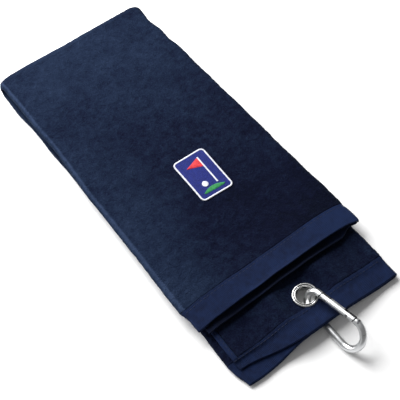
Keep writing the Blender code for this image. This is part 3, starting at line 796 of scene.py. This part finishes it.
# ---- narrow turned hem down the top panel's free side edge
SIDE_HEM_T = 1.3
side_section = strip_section(-NOMINAL_HALF_W + PANEL_C_INSET - 0.05,
                             -NOMINAL_HALF_W + HEM_C_INSET, levels[2], 0.45)
for name, body, stop, place, node in (
        ("towel_lower_side_hem", "lower_half", LOWER_PILE_END, on_lower, "lower_side_hem"),
        ("towel_flap_side_hem", "flap", FLAP_PILE_END, on_flap, "flap_side_hem")):
    hem = sheet_piece(name, side_section, end_rows(PILE_START, stop, 1.3 * coarse),
                      SIDE_HEM_T, place, HEM, relief=hem_relief)
    declare(hem, body, "hem", node)


# ---- seams: every stitch is a short thread that dips into the cloth
STITCH_PITCH = 3.0
STITCH_FROM, STITCH_TO = 0.04, 0.9  # shares of the pitch where a stitch begins and ends
STITCH_RISE, STITCH_DIP = 0.06, 0.42


def stitch_row(name, x, y, z, pitch, material, stack=PILE_STACK, radius=0.27):
    """Stitches along a line on the cloth, given flat, close-set points of it."""
    line = np.stack(drape(x, y, z, stack), axis=-1)
    run = np.concatenate(([0], np.cumsum(np.linalg.norm(np.diff(line, axis=0), axis=1))))
    starts = np.arange(0, run[-1] - pitch, pitch)
    steps = np.linspace(STITCH_FROM, STITCH_TO, 8)
    at = starts[:, None] + steps[None, :] * pitch
    paths = np.stack([np.interp(at, run, line[:, axis]) for axis in range(3)], axis=-1)
    from_middle = np.abs(2 * (steps - STITCH_FROM) / (STITCH_TO - STITCH_FROM) - 1)
    paths[:, :, 2] += STITCH_RISE - STITCH_DIP * from_middle ** 4
    taper = radius * np.array([0.25, 0.8, 1, 1, 1, 1, 0.8, 0.25])
    return tubes(name, paths, taper, material)


seam_y = np.linspace(-62.4, 64.5, 700)
seam_x = lower_hem_place(LOWER_SEAM_X + 0 * seam_y, seam_y,
                         0 * seam_y + lower_hem_levels[2])[0]
seam_q = lower_hem_shape(seam_x, seam_y, levels[2] + 0 * seam_y) + HEM_T / 2 - 0.25
lower_seam = stitch_row("towel_lower_end_seam", seam_x, seam_y, seam_q, STITCH_PITCH,
                        NAVY_THREAD, HEM_STACK)
declare(lower_seam, "lower_half", "navy_thread", "lower_end_seam")

seam_x = FLAP_SEAM_X + 0 * seam_y
seam_z = 2 * FOLD_Z - flap_hem_shape(seam_x, seam_y, levels[0] + 0 * seam_y) + HEM_T / 2 - 0.25
flap_seam = stitch_row("towel_flap_end_seam", seam_x, np.linspace(-65.5, 65.5, 700), seam_z,
                       STITCH_PITCH, NAVY_THREAD)
declare(flap_seam, "flap", "navy_thread", "flap_end_seam")

side_x = np.linspace(FOLD_X + 1, LOWER_PILE_END - 1, 2000)
side_y = 0 * side_x - NOMINAL_HALF_W + HEM_C_INSET + 2.6
side_z = 0 * side_x + levels[2] + SIDE_HEM_T / 2 - 0.1
side_seam = stitch_row("towel_lower_side_seam", side_x, side_y, side_z, STITCH_PITCH,
                       NAVY_THREAD, radius=0.22)
declare(side_seam, "lower_half", "navy_thread", "lower_side_seam")


# ---- grommet: turned rim with a rolled lip, and its washer below
def turned(name, profile, material, steps=96):
    """A closed profile of (radius, height) pairs in mm, turned about the grommet's axis."""
    angle = np.arange(steps) * 2 * math.pi / steps
    r, z = np.array(profile).T
    points = np.stack((GROMMET_X + r[None, :] * np.cos(angle)[:, None],
                       GROMMET_Y + r[None, :] * np.sin(angle)[:, None],
                       z[None, :] + 0 * angle[:, None]), axis=-1)
    grid = np.arange(steps * len(r)).reshape(steps, len(r))
    around, along = np.roll(grid, -1, axis=0), np.roll(grid, -1, axis=1)
    both = np.roll(around, -1, axis=1)
    faces = np.stack((grid, around, both, along), axis=-1).reshape(-1, 4)
    return quad_mesh(name, points.reshape(-1, 3) * MM, faces, material, 40)


def rolled(centre, drop, radius, start, stop, count):
    """Points of a rolled lip's arc; its centre lies drop below the grommet's crest."""
    return [(centre + radius * math.cos(a), CREST - drop + radius * math.sin(a))
            for a in np.linspace(start, stop, count)]


CREST = grommet_high.z / MM
BARREL_END = grommet_low.z / MM
lip = rolled(8.30, 0.90, 0.90, 0, 1.9, 12)
roll = rolled(7.10, 0.82, 0.58, 1.2, 3.1, 10)
eyelet = turned("grommet_rim", lip + [(7.68, CREST - 0.80)] + roll + [
    (6.6, CREST - 1.5), (6.74, BARREL_END), (6.9, BARREL_END), (6.75, CREST - 1.0),
    (9.1, CREST - 1.0)], BRIGHT)
# painted shade: the crease between the two rolls takes the dark steel
eyelet.data.materials.append(PIN_STEEL_AND_GAP_SHADE)
for face in eyelet.data.polygons:
    reach = math.hypot(face.center.x / MM - GROMMET_X, face.center.y / MM - GROMMET_Y)
    if 7.40 < reach < 7.95 and CREST - 0.9 < face.center.z / MM < CREST - 0.35:
        face.material_index = 1  # the crease between the two rolls
declare(eyelet, "lower_half", "bright_steel", "grommet_eyelet")
washer_low, washer_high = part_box("grommet_washer")
low, high = washer_low.z / MM, washer_high.z / MM
washer = turned("grommet_back_washer", [
    (7.0, low + 0.1), (7.1, low), (9.0, low), (9.2, low + 0.15), (9.2, high - 0.15), (9.0, high),
    (7.1, high), (7.0, high - 0.1)][::-1], BRIGHT)
declare(washer, "lower_half", "bright_steel", "grommet_washer")

# ---- carabiner: the CAD's own construction, drawn finer
WIRE_R, NARROW_R, WIDE_R, BEND_SPACING = 2.5, 7.0, 10.4, 33.0
WIRE_SIDES = 32
TILT = math.radians(58)
PIN_U, GATE_NOSE, GATE_TAIL = 24.5, 22.5, 6.3
GATE_CUT = math.radians(19)
CUT_GAP, TANG_T, TANG_R, SLOT_W = 1.0, 1.5, 2.3, 2.1
HINGE_SLOT, NOSE_SLOT, TONGUE_TIP = 3.4, 15.8, 16.5
LATCH_X, LATCH_Y, LATCH_R, PIN_R = 18.5, 0.6, 0.55, 0.8

rise = WIDE_R - NARROW_R
taper = math.asin(rise / math.hypot(BEND_SPACING, rise)) + math.atan2(rise, BEND_SPACING)
gate_normal = math.pi / 2 + taper
pin_v = (NARROW_R + NARROW_R * math.sin(gate_normal)
         + (PIN_U - NARROW_R * math.cos(gate_normal)) * math.tan(taper))
loop_matrix = (Matrix.Translation(((GROMMET_X + 7.7) * MM, (GROMMET_Y - 1.4) * MM, WIRE_R * MM))
               @ Matrix.Rotation(TILT, 4, "X"))
gate_matrix = (loop_matrix @ Matrix.Translation((PIN_U * MM, pin_v * MM, 0))
               @ Matrix.Rotation(math.pi + taper, 4, "Z"))


def gate_box(name, low, high, slant=0.0):
    """A box in the gate's own coordinates, its ends slanted like the gate's."""
    bm = bmesh.new()
    bmesh.ops.create_cube(bm, size=1)
    for vert in bm.verts:
        for axis in range(3):
            vert.co[axis] = (low[axis] if vert.co[axis] < 0 else high[axis]) * MM
        vert.co.x += slant * (vert.co.y + WIRE_R * MM)
    return from_bmesh(name, bm, gate_matrix)


def solid_cylinder(name, radius, length, matrix, segments=48):
    bm = bmesh.new()
    bmesh.ops.create_cone(bm, cap_ends=True, segments=segments, radius1=radius * MM,
                          radius2=radius * MM, depth=length * MM)
    return from_bmesh(name, bm, matrix)


def from_bmesh(name, bm, matrix):
    bm.transform(matrix)
    mesh = bpy.data.meshes.new(name)
    bm.to_mesh(mesh)
    bm.free()
    return added(name, mesh)


CUT, JOIN = "DIFFERENCE", "UNION"


def carve(thing, material, tools):
    """Cut or join the tools, soften the edges a little, and keep the plain mesh."""
    for operation, tool in tools:
        mod = thing.modifiers.new(tool.name, "BOOLEAN")
        mod.operation = operation
        mod.solver = "EXACT"
        mod.object = tool
    soft = thing.modifiers.new("soft_edges", "BEVEL")
    soft.width = 0.10 * MM
    soft.segments = 2
    soft.limit_method = "ANGLE"
    soft.angle_limit = math.radians(50)
    bpy.context.view_layer.update()
    shaped = thing.evaluated_get(bpy.context.evaluated_depsgraph_get())
    mesh = bpy.data.meshes.new_from_object(shaped)
    thing.modifiers.clear()
    thing.data = mesh
    mesh.materials.clear()
    mesh.materials.append(material)
    mesh.shade_smooth()
    mesh.set_sharp_from_angle(angle=math.radians(32))
    for _, tool in tools:
        bpy.data.objects.remove(tool, do_unlink=True)
    return thing


def paint_gap_shade(thing):
    """Painted shade in the narrow gaps: every face well inside the wire's own surface."""
    thing.data.materials.append(PIN_STEEL_AND_GAP_SHADE)
    to_gate = gate_matrix.inverted()
    for face in thing.data.polygons:
        at = to_gate @ face.center
        beside_gate = -GATE_TAIL - 4 < at.x / MM < GATE_NOSE + 4
        if beside_gate and math.hypot(at.y, at.z) / MM < WIRE_R - 0.15:
            face.material_index = 1


def gate_line(distance):
    return PIN_U - distance * math.cos(taper), pin_v - distance * math.sin(taper)


def wire_bend(centre, radius, start, stop, count):
    turn = np.linspace(start, stop, count)
    return np.column_stack((centre + radius * np.cos(turn), radius + radius * np.sin(turn)))


wire_path = np.concatenate((
    [gate_line(-GATE_TAIL + 3)],
    wire_bend(BEND_SPACING, WIDE_R, gate_normal, -math.pi / 2, 60),
    np.column_stack((np.linspace(BEND_SPACING - 1, 1, 10), np.zeros(10))),
    wire_bend(0, NARROW_R, -math.pi / 2, gate_normal - 2 * math.pi, 50),
    [gate_line(GATE_NOSE - 1.5)]))
ahead = np.gradient(wire_path, axis=0)
ahead /= np.linalg.norm(ahead, axis=1, keepdims=True)
side = np.column_stack((ahead[:, 1], -ahead[:, 0]))
bm = bmesh.new()
rings = []
for (u, v), (across_u, across_v) in zip(wire_path, side):
    ring = []
    for turn in np.arange(WIRE_SIDES) * 2 * math.pi / WIRE_SIDES:
        reach = WIRE_R * math.cos(turn)
        ring.append(bm.verts.new(((u + across_u * reach) * MM, (v + across_v * reach) * MM,
                                  WIRE_R * math.sin(turn) * MM)))
    rings.append(ring)
for ring, following in zip(rings, rings[1:]):
    for i in range(WIRE_SIDES):
        j = (i + 1) % WIRE_SIDES
        bm.faces.new((ring[i], ring[j], following[j], following[i]))
bm.faces.new(rings[0])
bm.faces.new(rings[-1])
bmesh.ops.recalc_face_normals(bm, faces=bm.faces)
frame_body = from_bmesh("carabiner_frame", bm, loop_matrix)
BIG = 12  # larger than any cut needs
gate_slant = math.tan(GATE_CUT)
carve(frame_body, ALLOY, [
    (CUT, gate_box("opening", (-GATE_TAIL - CUT_GAP, -BIG, -BIG),
                   (GATE_NOSE + CUT_GAP, BIG, BIG), gate_slant)),
    (JOIN, solid_cylinder("tang", TANG_R, TANG_T, gate_matrix)),
    (JOIN, gate_box("tang_root", (-GATE_TAIL - 2.5, -1.7, -TANG_T / 2), (0, 1.7, TANG_T / 2))),
    (JOIN, gate_box("tongue", (TONGUE_TIP, -2.3, -TANG_T / 2),
                    (GATE_NOSE + 2.5, 1.6, TANG_T / 2))),
    (CUT, gate_box("notch", (LATCH_X - LATCH_R - 0.3, LATCH_Y - LATCH_R - 0.3, -BIG / 4),
                   (LATCH_X + LATCH_R + 0.3, BIG / 2, BIG / 4))),
    (CUT, solid_cylinder("pin_hole", PIN_R + 0.15, BIG, gate_matrix, 32))])
paint_gap_shade(frame_body)
declare(frame_body, "carabiner", "satin_aluminium", "carabiner_body")

along_gate = Matrix.Rotation(math.pi / 2, 4, "Y")


def gate_at(x, y=0.0):
    return gate_matrix @ Matrix.Translation((x * MM, y * MM, 0))


gate_tube = solid_cylinder("carabiner_gate_tube", WIRE_R, GATE_NOSE + GATE_TAIL + 6,
                           gate_at((GATE_NOSE - GATE_TAIL) / 2) @ along_gate, 64)
carve(gate_tube, ALLOY, [
    (CUT, gate_box("tail_trim", (-GATE_TAIL - BIG, -BIG, -BIG), (-GATE_TAIL, BIG, BIG),
                   gate_slant)),
    (CUT, gate_box("nose_trim", (GATE_NOSE, -BIG, -BIG), (GATE_NOSE + BIG, BIG, BIG),
                   gate_slant)),
    (CUT, gate_box("hinge_slot", (-GATE_TAIL - BIG, -BIG, -SLOT_W / 2),
                   (HINGE_SLOT, BIG, SLOT_W / 2))),
    (CUT, gate_box("nose_slot", (NOSE_SLOT, -BIG, -SLOT_W / 2),
                   (GATE_NOSE + BIG, BIG, SLOT_W / 2))),
    (CUT, solid_cylinder("gate_pin_hole", PIN_R + 0.25, BIG, gate_matrix, 32)),
    (CUT, solid_cylinder("gate_latch_hole", LATCH_R + 0.25, BIG, gate_at(LATCH_X, LATCH_Y), 32)),
    (CUT, solid_cylinder("spring_bore", 1.25, 10.6, gate_at(7.7) @ along_gate, 32))])
paint_gap_shade(gate_tube)
declare(gate_tube, "gate", "satin_aluminium", "carabiner_gate")
for name, material in (("gate_hinge_pin", PIN_STEEL_AND_GAP_SHADE), ("gate_latch_pin", PIN_STEEL_AND_GAP_SHADE),
                       ("gate_spring", SPRING), ("gate_plunger", SPRING)):
    for place in frame["nodes"][name].material_slots:
        place.material = material

# ---- badge: satin border, filled field and a plain golf motif
backing_low, backing_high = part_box("badge_backing")
BADGE_AT = ((backing_low.x + backing_high.x) / 2 / MM + 0.8,
            (backing_low.y + backing_high.y) / 2 / MM)
BADGE_TURN = math.radians(-1.5)
BADGE_L, BADGE_W, BADGE_CORNER, BORDER_W = 40.3, 27.0, 3.4, 1.15
THREAD_PITCH = 0.38
FILL_PITCH, FILL_STEP, FILL_L = 0.40, 3.4, 3.3


def on_badge(u, v, height):
    """Badge coordinates, with a height over the cloth, to the draped flap."""
    x = BADGE_AT[0] + u * math.cos(BADGE_TURN) - v * math.sin(BADGE_TURN)
    y = BADGE_AT[1] + u * math.sin(BADGE_TURN) + v * math.cos(BADGE_TURN)
    z = drape(x, y, 2 * FOLD_Z + 0 * x)[2]
    return np.stack((x, y, z + height), axis=-1)


MOTIF_LOW, MOTIF_ARCH = 0.66, 0.22  # the motif's threads: height of their ends, and rise
THREAD_SLOTS = {WHITE_THREAD: "white_thread", BLUE_THREAD: "blue_thread",
                RED_THREAD: "red_thread", GREEN_THREAD: "green_thread"}


def satin(name, u0, v0, u1, v1, material, node, low=MOTIF_LOW, arch=MOTIF_ARCH, radius=0.21):
    """Threads laid side by side, each from (u0, v0) to (u1, v1), rounded over."""
    steps = np.linspace(0, 1, 9)[None, :]
    u = u0[:, None] * (1 - steps) + u1[:, None] * steps
    v = v0[:, None] * (1 - steps) + v1[:, None] * steps
    jitter = np.random.RandomState(len(u0)).rand(len(u0), 1) * 0.05
    height = low + jitter + arch * (1 - (2 * steps - 1) ** 4)
    slack = radius * np.array([0.7, 0.95, 1, 1, 1, 1, 1, 0.95, 0.7])
    piece = tubes(name, on_badge(u, v, height), slack, material)
    return declare(piece, "flap", THREAD_SLOTS[material], node)


def rounded_half(length, width, corner, v):
    """Half length of a rounded rectangle at each v."""
    over = np.clip(np.abs(v) - (width / 2 - corner), 0, corner)
    return length / 2 - corner + np.sqrt(np.maximum(corner ** 2 - over ** 2, 0))


# backing cloth, seen only at the border's foot
us, vs = np.linspace(-1, 1, 40)[:, None], np.linspace(-1, 1, 30)[None, :]
back_v = vs * (BADGE_W / 2 - 0.5) + 0 * us
back_u = us * rounded_half(BADGE_L - 1, BADGE_W - 1, BADGE_CORNER - 0.5, back_v)
backing = cloth_mesh("badge_backing_cloth", on_badge(back_u, back_v, 0.45),
                     on_badge(back_u, back_v, 0.02), back_u, back_v, BLUE_THREAD)
declare(backing, "flap", "blue_thread", "badge_backing")

# field: rows of fill stitches, laid like bricks
field_l, field_w = BADGE_L - 2 * BORDER_W, BADGE_W - 2 * BORDER_W
ends = []
for number, v in enumerate(np.arange(-field_w / 2 + 0.1, field_w / 2, FILL_PITCH)):
    half = rounded_half(field_l, field_w, BADGE_CORNER - BORDER_W, np.array([v]))[0]
    for mark in np.arange(-half - FILL_STEP * ((number % 3) / 3), half, FILL_STEP):
        start, stop = max(mark, -half), min(mark + FILL_L, half)
        if stop - start > 0.6:
            ends.append((start, v, stop, v))
ends = np.array(ends)
satin("badge_field_fill", *ends.T, BLUE_THREAD, "badge_field", 0.42, 0.16, 0.215)

# border: threads across the band, all the way round
corner = BADGE_CORNER - BORDER_W / 2
half_l, half_w = BADGE_L / 2 - BORDER_W / 2 - corner, BADGE_W / 2 - BORDER_W / 2 - corner
centres, normals = [], []
for turn0, cu, cv in ((0, half_l, half_w), (90, -half_l, half_w), (180, -half_l, -half_w),
                      (270, half_l, -half_w)):
    for angle in np.radians(np.linspace(turn0, turn0 + 90, 11)[:-1]):
        normals.append((math.cos(angle), math.sin(angle)))
        centres.append((cu + corner * math.cos(angle), cv + corner * math.sin(angle)))
    angle = math.radians(turn0 + 90)
    edge = 2 * (half_l if turn0 in (0, 180) else half_w)
    for step in np.arange(0, edge, THREAD_PITCH):
        centres.append((cu + corner * math.cos(angle) - step * math.sin(angle),
                        cv + corner * math.sin(angle) + step * math.cos(angle)))
        normals.append((math.cos(angle), math.sin(angle)))
centres, normals = np.array(centres), np.array(normals)
inner, outer = centres - normals * BORDER_W / 2, centres + normals * BORDER_W / 2
satin("badge_border_satin", *inner.T, *outer.T, WHITE_THREAD, "badge_border", 0.30, 0.42, 0.23)

# motif: flagstick, pennant, ball and green
STICK_Y, STICK_W, STICK_TOP, STICK_FOOT = 5.2, 1.1, -14.6, 11.4
PENNANT_L, PENNANT_REACH = 9.0, 11.5
BALL_R, BALL_X, BALL_Y = 2.4, 8.2, -3.6
GREEN_X, GREEN_HALF, GREEN_DEPTH = 12.0, 9.0, 3.0
u = np.arange(STICK_TOP, STICK_FOOT, THREAD_PITCH)
satin("badge_flagstick_satin", u, STICK_Y - STICK_W / 2 + 0 * u, u, STICK_Y + STICK_W / 2 + 0 * u,
      WHITE_THREAD, "badge_flagstick")
v = np.arange(0, PENNANT_REACH - 0.4, THREAD_PITCH)
hoist = STICK_Y - STICK_W / 2 - 0.25
reach = PENNANT_L / 2 * (1 - v / PENNANT_REACH)
middle = STICK_TOP + PENNANT_L / 2
satin("badge_pennant_satin", middle - reach, hoist - v, middle + reach, hoist - v,
      RED_THREAD, "badge_pennant")
u = np.arange(-BALL_R + 0.15, BALL_R, THREAD_PITCH)
reach = np.sqrt(np.maximum(BALL_R ** 2 - u ** 2, 0.05))
satin("badge_ball_satin", BALL_X + u, BALL_Y - reach, BALL_X + u, BALL_Y + reach,
      WHITE_THREAD, "badge_ball")
v = np.arange(-GREEN_HALF, GREEN_HALF, THREAD_PITCH)
far = GREEN_X + GREEN_DEPTH + 1 - 1.0 * np.clip((np.abs(v) - GREEN_HALF + 1.4) / 1.4, 0, 1)
satin("badge_green_satin", GREEN_X + GREEN_DEPTH * (v / GREEN_HALF) ** 2, v, far, v,
      GREEN_THREAD, "badge_green")

low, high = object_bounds()
